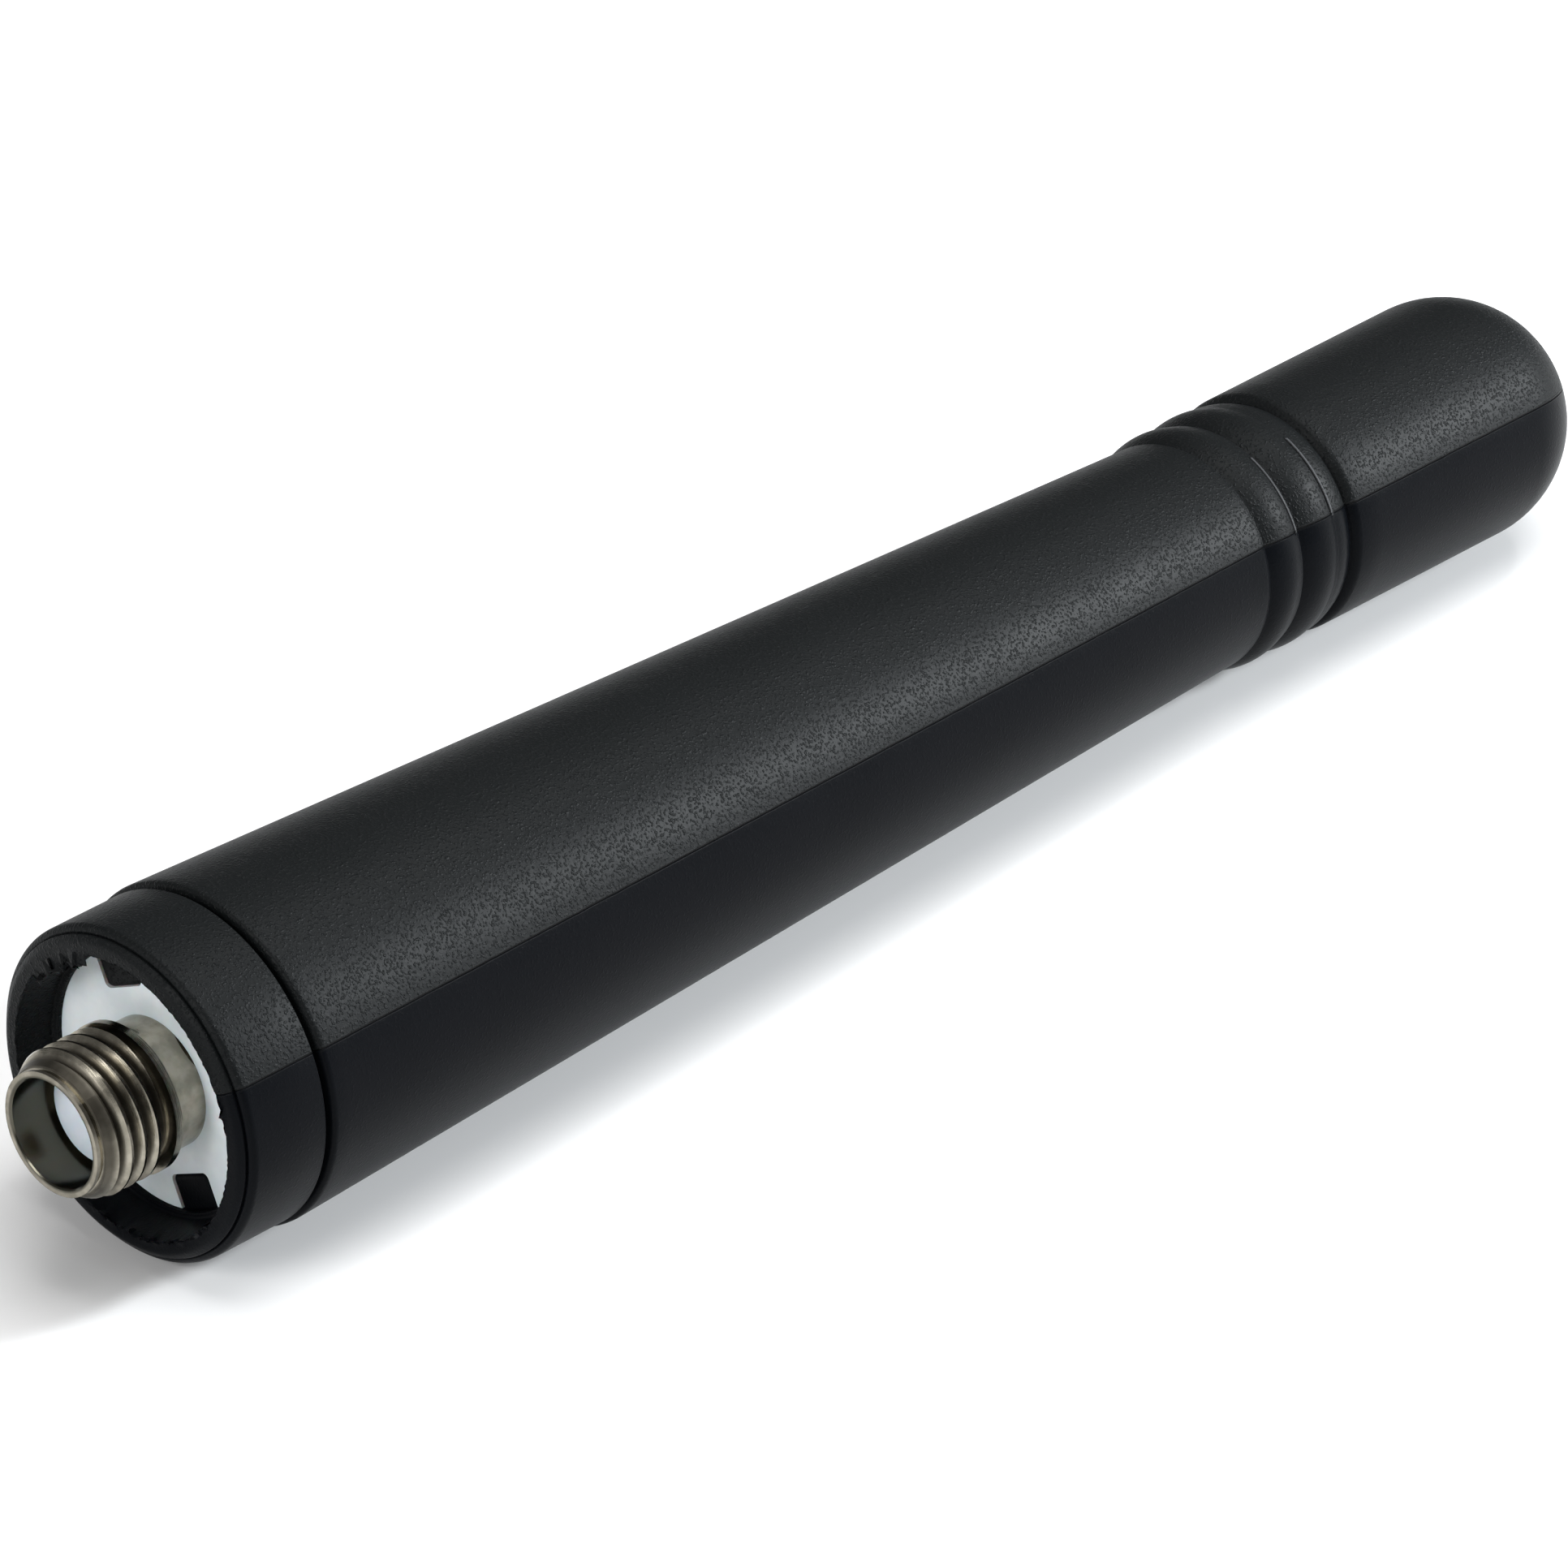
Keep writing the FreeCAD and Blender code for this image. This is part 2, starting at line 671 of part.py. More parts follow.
def build_sheath():
    """One elastomer moulding: skirt, collar, groove, taper, two beads and domed tip.
    Its inside is the outside of everything that it is moulded over."""
    body = make_body("sheath")
    revolve(body, "sheath_moulding", [
        (skirt_face, size("skirt_mouth_radius")),
        (skirt_face, size("skirt_flat_radius")),
        (skirt_face + size("skirt_edge_rise"), size("skirt_face_radius"), size("skirt_edge_radius")),
        (skirt_face + size("skirt_edge_rise") + size("skirt_edge_length"), size("collar_radius")),
        (size("collar_end"), size("collar_top_radius")),
        (size("collar_end"), size("groove_radius")),
        (groove_end, size("groove_radius")),
        (groove_end, size("body_start_radius")),
        (size("body_end"), size("body_end_radius")),
        (bead_one_start, size("bead_root_radius"), size("bead_one_curve")),
        (bead_one_end, size("bead_root_radius"), size("bead_two_curve")),
        (bead_two_crest, size("bead_two_crest_radius"), size("bead_two_curve")),
        (bead_two_end, size("bead_root_radius"), size("tip_edge_radius")),
        (bead_two_end + size("tip_edge_length"), size("tip_start_radius")),
        (size("tip_end"), size("tip_radius")),
        (size("tip_end"), ZERO),
        (skirt_face, ZERO),
    ])
    add_dome(body)
    cut_round(body, "skirt_recess", [
        (skirt_face, ZERO),
        (skirt_face, size("skirt_mouth_radius")),
        (skirt_floor, size("skirt_foot_radius")),
        (skirt_floor, size("disc_radius")),
        (disc_back, size("disc_radius")),
        (disc_back, ZERO),
    ])
    keys = body.newObject("PartDesign::Pad", "keys")
    keys.Profile = two_keys(body, "key_outline")
    keys.Length = DRIVING_SIZES["disc_thickness"]
    keys.setExpression("Length", "Sizes.disc_thickness")
    doc.recompute()
    round_key_corners(body, "key_corners")
    cut_round(body, "anchor_room", [
        (disc_back, ZERO),
        (disc_back, size("flange_radius")),
        (flange_end, size("flange_radius")),
        (flange_end, size("tail_radius")),
        (tail_groove_start, size("tail_radius")),
        (tail_groove_start, size("tail_groove_radius")),
        (tail_groove_end, size("tail_groove_radius")),
        (tail_groove_end, size("tail_radius")),
        (tail_end, size("tail_radius")),
        (tail_end, size("pin_radius")),
        (terminal_start, size("pin_radius")),
        (terminal_start, ZERO),
    ])
    cut_round(body, "core_room", [
        (terminal_start, ZERO),
        (terminal_start, size("terminal_radius")),
        (sleeve_start, size("terminal_radius")),
        (sleeve_start, size("sleeve_outer_radius")),
        (plug_shoulder, size("plug_radius")),
        (plug_end, size("plug_nose_radius")),
        (plug_end, ZERO),
    ])
    turn_about_x(body, "mould_turn")
    return body


# ---------------------------------------------------------------------------
# Build, check and write
# ---------------------------------------------------------------------------

coil_body = build_helix_coil()
sub_parts = [
    build_connector_shell(),
    build_connector_insulator(),
    build_centre_contact(),
    build_retaining_ring(),
    build_rear_potting(),
    build_base_disc(),
    build_feed_terminal(),
    build_solder_joint(coil_body),
    build_coil_former(),
    coil_body,
    build_shrink_sleeve(),
    build_tip_plug(),
    build_sheath(),
]
doc.recompute()

failed = [item.Name for item in doc.Objects if {"Invalid", "Error"} & set(item.State)]
if failed:
    raise RuntimeError(f"features failed: {failed}")
for item in sub_parts:
    if item.Shape.isNull() or not item.Shape.isValid():
        raise RuntimeError(f"{item.Label} has no valid shape")

os.makedirs("parts", exist_ok=True)
for item in sub_parts:
    item.Shape.exportStep(f"parts/{item.Label}.step")
    box = item.Shape.BoundBox
    print(f"{item.Label}: {len(item.Shape.Solids)} solid, {item.Shape.Volume:.2f} mm3, "
          f"x {box.XMin:.2f} to {box.XMax:.2f}")
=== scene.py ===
# %% [markdown]
# # A stubby moulded antenna, piece by piece
# The antenna is a short whip of black elastomer, moulded over a wire coil and over the back
# of a threaded metal jack. A fixed frame from the CAD model gives every station and size.
# This lesson gives each piece its finished surface. First the camera, then the moulding,
# then the small metal and plastic pieces that show in its mouth, then the light.

import math

import bpy
from mathutils import Matrix, Vector


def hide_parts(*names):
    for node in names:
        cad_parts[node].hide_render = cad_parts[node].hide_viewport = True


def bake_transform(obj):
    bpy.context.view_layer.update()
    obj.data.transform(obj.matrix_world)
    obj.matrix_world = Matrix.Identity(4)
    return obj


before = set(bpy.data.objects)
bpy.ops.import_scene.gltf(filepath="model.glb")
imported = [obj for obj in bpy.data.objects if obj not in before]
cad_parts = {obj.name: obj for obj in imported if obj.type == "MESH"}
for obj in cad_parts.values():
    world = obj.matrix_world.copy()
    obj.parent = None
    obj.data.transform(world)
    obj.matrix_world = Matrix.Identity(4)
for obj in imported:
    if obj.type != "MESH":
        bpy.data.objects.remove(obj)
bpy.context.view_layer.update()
MM = 0.001

# %% [markdown]
# ## The camera
# A short lens close by would swell the jack, and a long lens that stands back keeps near
# and far parts at nearly the same size. So the camera has a long lens, a quarter of a metre
# from the mouth of the skirt and above it. Its axes come from two angles and a lean of one
# degree, because that is easier to correct than a turned matrix.

# %% Camera
CAMERA_PLACE = Vector((-142.17, -162.98, 133.73)) * MM
AZIMUTH = math.radians(-48.206)
ELEVATION = math.radians(28.894)
LEAN = math.radians(1.08)

backwards = Vector((
    math.sin(AZIMUTH) * math.cos(ELEVATION),
    -math.cos(AZIMUTH) * math.cos(ELEVATION),
    math.sin(ELEVATION),
))
level_right = Vector((math.cos(AZIMUTH), math.sin(AZIMUTH), 0))
turned = Matrix.Rotation(LEAN, 3, backwards)
right = turned @ level_right
up = backwards.cross(right)

lens = bpy.data.cameras.new("lens")
lens.sensor_width = 36
lens.lens = 149.07
lens.clip_start = 0.01
lens.clip_end = 20
camera = bpy.data.objects.new("camera", lens)
bpy.context.scene.collection.objects.link(camera)
axes = Matrix((right, up, backwards)).transposed().to_4x4()
camera.matrix_world = Matrix.Translation(CAMERA_PLACE) @ axes
bpy.context.scene.camera = camera
print("camera looks down by", round(math.degrees(ELEVATION), 1), "degrees")

# %% [markdown]
# ## Turned shapes
# Nearly every piece is a shape of revolution. By hand that is one outline drawn from a
# single point, extruded corner by corner, and spun once round the antenna's axis. Where
# an edge is broken or moulded round, the outline gets a short arc instead of a corner.

# %% Outline helpers
def clear_selection():
    if bpy.context.object and bpy.context.object.mode == "EDIT":
        bpy.ops.object.mode_set(mode="OBJECT")
    bpy.ops.object.select_all(action="DESELECT")


def pick(piece):
    """Select one piece alone, and make it the active one."""
    clear_selection()
    piece.select_set(True)
    bpy.context.view_layer.objects.active = piece


def rounded(corners, steps=4):
    """Points of an outline. A corner is (x, r) if it is sharp and (x, r, cut) if it is round."""
    points = []
    for index, corner in enumerate(corners):
        here = Vector(corner[:2])
        if len(corner) == 2:
            points.append(here)
            continue
        before = Vector(corners[index - 1][:2])
        after = Vector(corners[index + 1][:2])
        first = here + (before - here).normalized() * corner[2]
        last = here + (after - here).normalized() * corner[2]
        for step in range(steps + 1):
            t = step / steps
            points.append(first * (1 - t) ** 2 + here * 2 * t * (1 - t) + last * t ** 2)
    return points


def stretch(start, stop, length):
    """Points on a straight run, about one length apart, without its last end."""
    count = max(1, round((Vector(stop) - Vector(start)).length / length))
    return [tuple(Vector(start).lerp(Vector(stop), step / count)) for step in range(count)]


def bulge(start, stop, radius, steps):
    """Points on an arc that bulges away from the axis, without its last end."""
    start, stop = Vector(start), Vector(stop)
    chord = stop - start
    middle = (start + stop) / 2
    outward = Vector((-chord.y, chord.x)).normalized()
    centre = middle - outward * math.sqrt(radius ** 2 - (chord.length / 2) ** 2)
    first = math.atan2(start.y - centre.y, start.x - centre.x)
    last = math.atan2(stop.y - centre.y, stop.x - centre.x)
    angles = [first + (last - first) * step / steps for step in range(steps)]
    return [(centre.x + radius * math.cos(a), centre.y + radius * math.sin(a)) for a in angles]


# %% Spinning an outline
WELD = 0.0005 * MM


def spun(name, points, segments=96, closed=True):
    """Draw an outline in millimetres from one point, and spin it round the X axis."""
    clear_selection()
    start = Vector((points[0][0], 0, points[0][1])) * MM
    bpy.ops.mesh.primitive_plane_add(size=MM, location=start)
    piece = bpy.context.object
    piece.name = name
    bpy.ops.object.mode_set(mode="EDIT")
    bpy.ops.mesh.merge(type="CENTER")
    for here, after in zip(points, points[1:]):
        move = Vector((after[0] - here[0], 0, after[1] - here[1])) * MM
        bpy.ops.mesh.extrude_vertices_move(TRANSFORM_OT_translate={"value": move})
    if closed:
        bpy.ops.mesh.select_all(action="SELECT")
        bpy.ops.mesh.remove_doubles(threshold=WELD)
    bpy.ops.mesh.select_all(action="SELECT")
    bpy.ops.mesh.spin(steps=segments, angle=2 * math.pi, center=(0, 0, 0), axis=(1, 0, 0))
    bpy.ops.mesh.select_all(action="SELECT")
    bpy.ops.mesh.remove_doubles(threshold=WELD)
    bpy.ops.mesh.normals_make_consistent(inside=False)
    bpy.ops.object.mode_set(mode="OBJECT")
    bpy.ops.object.transform_apply(location=True, rotation=True, scale=True)
    print(name, "has", len(piece.data.polygons), "faces")
    return piece


def smooth(piece):
    """Shade a piece smooth, except where two faces meet at a real edge."""
    pick(piece)
    bpy.ops.object.shade_smooth_by_angle(angle=math.radians(32))


# %% [markdown]
# ## The moulding
# One shot of black elastomer makes the skirt, the collar, a thin deep groove, the long
# taper, two beads, the straight tip and its dome. Its inside is the outside of the core
# that it was moulded over. The taper is drawn with many short runs, so that it can bend.

# %% Outline of the moulding
SKIRT_FACE = 1.6
DISC_BACK = 5.15
MOUTH_RADIUS = 5.53
COLLAR_EDGE = (2.25, 7.19)
GROOVE_FLOOR = 6.8
BODY_START = (6.1, 7.39)
BODY_END = (66.6, 5.49)
SLEEVE_START = 12.0
SLEEVE_RADIUS = 3.6
BEND_START = 14.0
BEND_END = 34.0
BEADS_START = 66.3
BEAD_ROOT = 5.42
TIP_START = (73.05, 5.83)
TIP_RADIUS = 5.95
TIP_END = 86.6
DOME_STEPS = 24


def on_taper(x):
    slope = (BODY_END[1] - BODY_START[1]) / (BODY_END[0] - BODY_START[0])
    return (x, BODY_START[1] + (x - BODY_START[0]) * slope)


core = [
    (84.0, 0.0), (84.0, 2.2), (82.8, SLEEVE_RADIUS),
    *stretch((81.0, SLEEVE_RADIUS), (SLEEVE_START, SLEEVE_RADIUS), 1.5),
    (SLEEVE_START, SLEEVE_RADIUS), (SLEEVE_START, 2.4), (11.6, 2.4),
    (11.6, 0.45), (10.4, 0.45), (10.4, 2.9), (9.2, 2.9), (9.2, 2.45), (8.2, 2.45),
    (8.2, 2.9), (7.15, 2.9), (7.15, 4.5), (DISC_BACK, 4.5), (DISC_BACK, MOUTH_RADIUS),
]
mouth = [
    (3.4, MOUTH_RADIUS), (3.32, 5.56, 0.05), (3.32, 5.8, 0.12), (2.6, 5.91), (1.9, 6.03),
    (SKIRT_FACE, 6.07, 0.04), (SKIRT_FACE, 6.2), (SKIRT_FACE, 6.4),
    (1.62, 6.6, 0.1), (1.80, 6.86, 0.06), (1.98, 6.80, 0.03),
]
collar = [
    (1.93, 6.93, 0.03), *bulge((1.96, 6.98), COLLAR_EDGE, 0.3, 6)[1:],
    COLLAR_EDGE, (4.0, 7.205), (5.8, 7.22, 0.07),
    (5.83, GROOVE_FLOOR, 0.05), (6.07, GROOVE_FLOOR, 0.05), (*BODY_START, 0.24),
]
taper = [
    *stretch(on_taper(7.0), on_taper(BEND_START), 1.5),
    *stretch(on_taper(BEND_START), on_taper(BEND_END), 0.8),
    *stretch(on_taper(BEND_END), on_taper(BEADS_START), 2.0),
]
beads = [
    on_taper(BEADS_START), (*BODY_END, 0.1), (66.72, BEAD_ROOT, 0.05),
    *bulge((66.72, BEAD_ROOT), (68.72, 5.63), 2.25, 12)[1:],
    (68.72, 5.63), (68.76, 5.68), (68.83, 5.67), (68.88, 5.60),
    *bulge((68.88, 5.56), (69.1, BEAD_ROOT), 2.25, 3)[1:], (69.1, BEAD_ROOT, 0.04),
    *bulge((69.1, BEAD_ROOT), (71.2, 5.74), 2.6, 12)[1:],
    (71.2, 5.745), (71.24, 5.82), (71.34, 5.80), (71.4, 5.73),
    *bulge((71.4, 5.73), (72.6, BEAD_ROOT), 2.3, 9)[1:], (72.6, BEAD_ROOT, 0.05),
    *bulge((72.6, BEAD_ROOT), TIP_START, 0.6, 6)[1:],
]
tip = [
    *stretch(TIP_START, (TIP_END, TIP_RADIUS), 1.5),
    *[(TIP_END + TIP_RADIUS * math.sin(a), TIP_RADIUS * math.cos(a))
      for a in [math.pi / 2 * step / DOME_STEPS for step in range(DOME_STEPS + 1)]],
]
moulding_outline = rounded([*core, *mouth, *collar, *taper, *beads, *tip])
print("outline of the moulding has", len(moulding_outline), "points")

# %% Spin the moulding
corners = [tuple(point) for point in moulding_outline]
moulding = spun("moulding", corners, segments=216, closed=False)

# %% [markdown]
# ## Flash at the mouth
# Where the mould's insert met the skirt, a thin ragged film of elastomer was squeezed out
# and torn off. The inner edge of the mouth is shaken a little all the way round, and over
# the upper key a flap is left, which is drawn in from the edge and shaken more. A few
# stretches opposite and beside it are rough too. Shaking the spun points gives a true
# ragged edge, where a bump could only shade one.

# %% Torn edge
FLAP_ANGLES = (-52, -17)


def angle_about_axis(point):
    """Degrees about the axis: 0 is up, and 90 is towards -Y."""
    return math.degrees(math.atan2(-point.y, point.z))


def select_points(piece, test):
    """Select the points of a piece that pass a test on their place in millimetres."""
    pick(piece)
    bpy.ops.object.mode_set(mode="EDIT")
    bpy.ops.mesh.select_mode(type="VERT")
    bpy.ops.mesh.select_all(action="DESELECT")
    bpy.ops.object.mode_set(mode="OBJECT")
    for point in piece.data.vertices:
        place = point.co / MM
        point.select = test(place.x, math.hypot(place.y, place.z), angle_about_axis(place))
    print(test.__name__, "holds for", sum(point.select for point in piece.data.vertices), "points")
    bpy.ops.object.mode_set(mode="EDIT")


def draw_in(share):
    """Bring the selected points to a share of their distance from the axis."""
    bpy.ops.transform.resize(value=(1, share, share), center_override=(0, 0, 0))


def at_mouth(x, r, angle):
    return 1.55 < x < 1.72 and 6.0 < r < 6.13


def in_flap(x, r, angle):
    return at_mouth(x, r, angle) and FLAP_ANGLES[0] < angle < FLAP_ANGLES[1]


def under_jack(x, r, angle):
    return at_mouth(x, r, angle) and (125 < angle or angle < -165 or 68 < angle < 76)


TEARS = ((at_mouth, None, 0.05, 3), (in_flap, 0.93, 0.3, 11), (under_jack, None, 0.16, 5))
for test, share, shake, seed in TEARS:
    select_points(moulding, test)
    if share:
        draw_in(share)
    bpy.ops.transform.vertex_random(offset=shake * MM, seed=seed)
    bpy.ops.object.mode_set(mode="OBJECT")

# %% [markdown]
# ## Witness ridges
# A fine ridge of flash stands on each bead, but only on one part of the upper mould half.
# It is in the outline, so it was spun all the way round. Everywhere else it is now pressed
# down to the bead, which is simpler than adding a ridge to part of a spun surface.

# %% Pressed ridges
RIDGE_ANGLES = (24, 65)


def pressed(first_x, last_x, least_r):
    """A test for the points of a ridge that lie outside the angles where it stands."""
    def off_the_ridge(x, r, angle):
        stands = RIDGE_ANGLES[0] < angle < RIDGE_ANGLES[1]
        return first_x < x < last_x and r > least_r and not stands
    return off_the_ridge


for test, share in ((pressed(68.74, 68.85, 5.65), 0.990), (pressed(71.22, 71.37, 5.78), 0.988)):
    select_points(moulding, test)
    draw_in(share)
    bpy.ops.object.mode_set(mode="OBJECT")

# %% [markdown]
# ## The moulding's keys
# Two tongues of the moulding fill notches in the white disc and stop it from turning.
# They are small bars with two round corners. Cutting them out of the spun mesh would
# spoil its even rows, so each is a cube that is stretched, has its inner corners bevelled
# and its other edges softened, and is joined to the moulding.

# %% Keys
MOULD_TURN = math.radians(-25)
KEY_SIZE = Vector((1.6, 2.3, 1.65)) * MM
KEY_CENTRE = Vector((4.35, 0, 4.775)) * MM
KEY_CORNER = 0.28 * MM
KEY_EDGE = 0.03 * MM


def key(turn):
    clear_selection()
    bpy.ops.mesh.primitive_cube_add(size=1)
    bar = bpy.context.object
    bpy.ops.object.mode_set(mode="EDIT")
    bpy.ops.transform.resize(value=KEY_SIZE)
    bpy.ops.transform.translate(value=KEY_CENTRE)
    bpy.ops.object.mode_set(mode="OBJECT")
    for edge in bar.data.edges:
        ends = [bar.data.vertices[index].co for index in edge.vertices]
        inner = all(end.z < KEY_CENTRE.z for end in ends)
        edge.select = inner and abs(ends[0].x - ends[1].x) > KEY_SIZE.x / 2
    bpy.ops.object.mode_set(mode="EDIT")
    bpy.ops.mesh.select_mode(type="EDGE")
    bpy.ops.mesh.bevel(offset=KEY_CORNER, segments=6, affect="EDGES")
    bpy.ops.mesh.select_mode(type="VERT")
    bpy.ops.object.mode_set(mode="OBJECT")
    bar.data.transform(Matrix.Rotation(turn, 4, "X"))
    softened = bar.modifiers.new("soft_edges", "BEVEL")
    softened.width = KEY_EDGE
    softened.segments = 2
    softened.limit_method = "ANGLE"
    pick(bar)
    bpy.ops.object.modifier_apply(modifier=softened.name)
    return bar


keys = [key(MOULD_TURN), key(MOULD_TURN + math.pi)]
pick(moulding)
for bar in keys:
    bar.select_set(True)
bpy.ops.object.join()
smooth(moulding)
print("moulding with keys has", len(moulding.data.polygons), "faces")

# %% [markdown]
# ## Writing sums as sums
# A finish is a net of small nodes. Long nets are hard to read, so one small class stands
# for the output of a node. Adding or multiplying two of them adds a Math node.

# %% Wires
class Wire:
    """One output of a node, in one material."""

    def __init__(self, tree, socket):
        self.tree = tree
        self.socket = socket

    def node(self, kind, settings=None, sockets=None, output=0):
        """Add a node: its settings first, then the values or wires of its sockets."""
        made = self.tree.nodes.new(kind)
        for name, value in (settings or {}).items():
            setattr(made, name, value)
        for name, value in (sockets or {}).items():
            if isinstance(value, Wire):
                self.tree.links.new(value.socket, made.inputs[name])
            else:
                made.inputs[name].default_value = value
        return Wire(self.tree, made.outputs[output])

    def maths(self, operation, first, second=0.0):
        return self.node("ShaderNodeMath", {"operation": operation}, {0: first, 1: second})

    def __add__(self, other):
        return self.maths("ADD", self, other)

    def __sub__(self, other):
        return self.maths("SUBTRACT", self, other)

    def __mul__(self, other):
        return self.maths("MULTIPLY", self, other)

    def __rsub__(self, other):
        return self.maths("SUBTRACT", other, self)

    __radd__ = __add__
    __rmul__ = __mul__

    def size(self):
        return self.maths("ABSOLUTE", self)

    def sine(self):
        return self.maths("SINE", self)

    def between(self, low, high):
        """0 below low, 1 above high, and a smooth step from one to the other."""
        return self.node("ShaderNodeMapRange", {"interpolation_type": "SMOOTHSTEP"},
                         {"Value": self, "From Min": low, "From Max": high})

    def near(self, middle, inner, outer):
        """1 within inner of a middle, 0 beyond outer, and a smooth step between them."""
        return 1 - (self - middle).size().between(inner, outer)

    def along(self, direction):
        """How far a place lies along a direction."""
        return self.node("ShaderNodeVectorMath", {"operation": "DOT_PRODUCT"},
                         {0: self, 1: direction}, output="Value")

    def from_axis(self):
        """How far a place lies from the antenna's axis."""
        across = self.node("ShaderNodeVectorMath", {"operation": "MULTIPLY"},
                           {0: self, 1: (0, 1, 1)})
        return self.node("ShaderNodeVectorMath", {"operation": "LENGTH"},
                         {0: across}, output="Value")

    def noise(self, size_mm, detail=2.0):
        return self.node("ShaderNodeTexNoise", None,
                         {"Vector": self, "Scale": 1 / (size_mm * MM), "Detail": detail})

    def blended(self, first, second):
        """The first colour where this is 0, the second where it is 1."""
        return self.node("ShaderNodeMix", {"data_type": "RGBA"},
                         {0: self, 6: first, 7: second}, output=2)

    def bumped(self, height_mm, strength):
        return self.node("ShaderNodeBump", None,
                         {"Height": self, "Distance": height_mm * MM, "Strength": strength})


def new_finish(name, attribute=None):
    """A fresh material, the place wire that its patterns follow, and its shader."""
    material = bpy.data.materials.new(name)
    material.use_nodes = True
    tree = material.node_tree
    shader = next(node for node in tree.nodes if node.type == "BSDF_PRINCIPLED")
    if attribute:
        source = tree.nodes.new("ShaderNodeAttribute")
        source.attribute_name = attribute
        place = Wire(tree, source.outputs["Vector"])
    else:
        source = tree.nodes.new("ShaderNodeTexCoord")
        place = Wire(tree, source.outputs["Object"])
    return material, place, shader


def put(shader, **sockets):
    """Give the shader's sockets their values or wires. Underscores stand for spaces."""
    for name, value in sockets.items():
        socket = shader.inputs[name.replace("_", " ")]
        if isinstance(value, Wire):
            value.tree.links.new(value.socket, socket)
        else:
            socket.default_value = value


def colour(red, green, blue):
    return (red, green, blue, 1)


def dress(piece, *finishes):
    """Give a piece its finishes in place of any that it has."""
    piece.data.materials.clear()
    for finish in finishes:
        piece.data.materials.append(finish)


# %% [markdown]
# ## Black elastomer
# The mould is two halves. The half that faces up was spark-eroded more coarsely, so its
# print sparkles in the light. The other is smoother. Where they meet runs a parting line.
# The pattern follows the places that the points had before any bending, which are kept
# on the mesh, so it doesn't slide when the whip bends.

# %% Keep each point's first place
kept = moulding.data.attributes.new("first_place", "FLOAT_VECTOR", "POINT")
for point, slot in zip(moulding.data.vertices, kept.data):
    slot.vector = point.co

# %% Elastomer finish
PARTING_ANGLE = math.radians(65)
across_parting = Vector((0, -math.cos(PARTING_ANGLE), -math.sin(PARTING_ANGLE)))
RIDGE_PLACES = ((68.8, 5.645), (71.3, 5.76))
SEAM_BLACK = colour(0.001, 0.001, 0.001)
RIDGE_PAINTED_HIGHLIGHT = colour(0.07, 0.072, 0.076)


def elastomer(name, grain_height, rough, gloss, dark, light):
    """Black elastomer that carries the print of one mould half, and a painted highlight on the
    witness ridges.
    """
    finish, place, shader = new_finish(name, "first_place")
    side = place.along(across_parting) + (place.noise(1.2) - 0.5) * (0.05 * MM)
    seam = 1 - side.size().between(0.0, 0.045 * MM)
    lip = side.size().near(0.07 * MM, 0.0, 0.04 * MM)
    grain = place.noise(0.13, detail=1.0).between(0.48, 0.8) + place.noise(0.3, detail=2.0) * 0.5
    cloud = place.noise(5.0, detail=2.0)
    relief = grain * grain_height - seam * 0.1 + lip * 0.02
    tone = cloud.blended(colour(*dark), colour(*light))
    tone = (seam * 0.7).blended(tone, SEAM_BLACK)
    radius = place.from_axis()
    along = place.along((1, 0, 0))
    # Painted highlight: where each witness ridge stands, its top is painted a lighter grey, for
    # the glint that light gives on it.
    for station, height in RIDGE_PLACES:
        stands = radius.between(height * MM, (height + 0.02) * MM)
        ridge = along.near(station * MM, 0.06 * MM, 0.09 * MM) * stands
        tone = (ridge * 0.9).blended(tone, RIDGE_PAINTED_HIGHLIGHT)
    put(shader, Specular_IOR_Level=gloss, Base_Color=tone, Roughness=rough + (cloud - 0.5) * 0.06,
        Normal=relief.bumped(1.0, 0.8))
    return finish


coarse_print = elastomer(
    "black_elastomer_coarse", grain_height=0.036, rough=0.48, gloss=0.1,
    dark=(0.0044, 0.0054, 0.0057), light=(0.0058, 0.0068, 0.0073),
)
fine_print = elastomer(
    "black_elastomer_fine", grain_height=0.006, rough=0.34, gloss=0.04,
    dark=(0.0022, 0.0028, 0.0038), light=(0.0034, 0.004, 0.0053),
)
dress(moulding, coarse_print, fine_print)
for face in moulding.data.polygons:
    face.material_index = 1 if face.center.dot(across_parting) > 0 else 0
print("faces of the fine half:", sum(face.material_index for face in moulding.data.polygons))

# %% [markdown]
# ## The core inside the moulding
# A nylon rod carries the coil and a shrunk sleeve covers it. None of this shows, but it
# bends with the whip, so the rod and the sleeve are spun again with many short runs,
# and the coil is a merged copy of its CAD mesh.

# %% Rod, sleeve and coil
ROD_START, ROD_END, ROD_RADIUS = 13.4, 81.0, 2.4
SLEEVE_END, FILM_INSIDE = 79.5, 3.26
CAD_WELD = 0.0001 * MM

rod = spun("former_rod", rounded([
    (ROD_START, 1.1), (17.0, 1.1), (17.0, 0.0), (ROD_END, 0.0), (ROD_END, ROD_RADIUS, 0.08),
    *stretch((79.0, ROD_RADIUS), (13.5, ROD_RADIUS), 1.0),
    (ROD_START, ROD_RADIUS, 0.05), (ROD_START, 1.1),
]), segments=48)
sleeve = spun("sleeve_film", rounded([
    (SLEEVE_START, FILM_INSIDE), *stretch((12.5, FILM_INSIDE), (79.0, FILM_INSIDE), 1.0),
    (SLEEVE_END, FILM_INSIDE), (SLEEVE_END, SLEEVE_RADIUS),
    *stretch((79.0, SLEEVE_RADIUS), (12.5, SLEEVE_RADIUS), 1.0),
    (SLEEVE_START, SLEEVE_RADIUS), (SLEEVE_START, FILM_INSIDE),
]), segments=64)


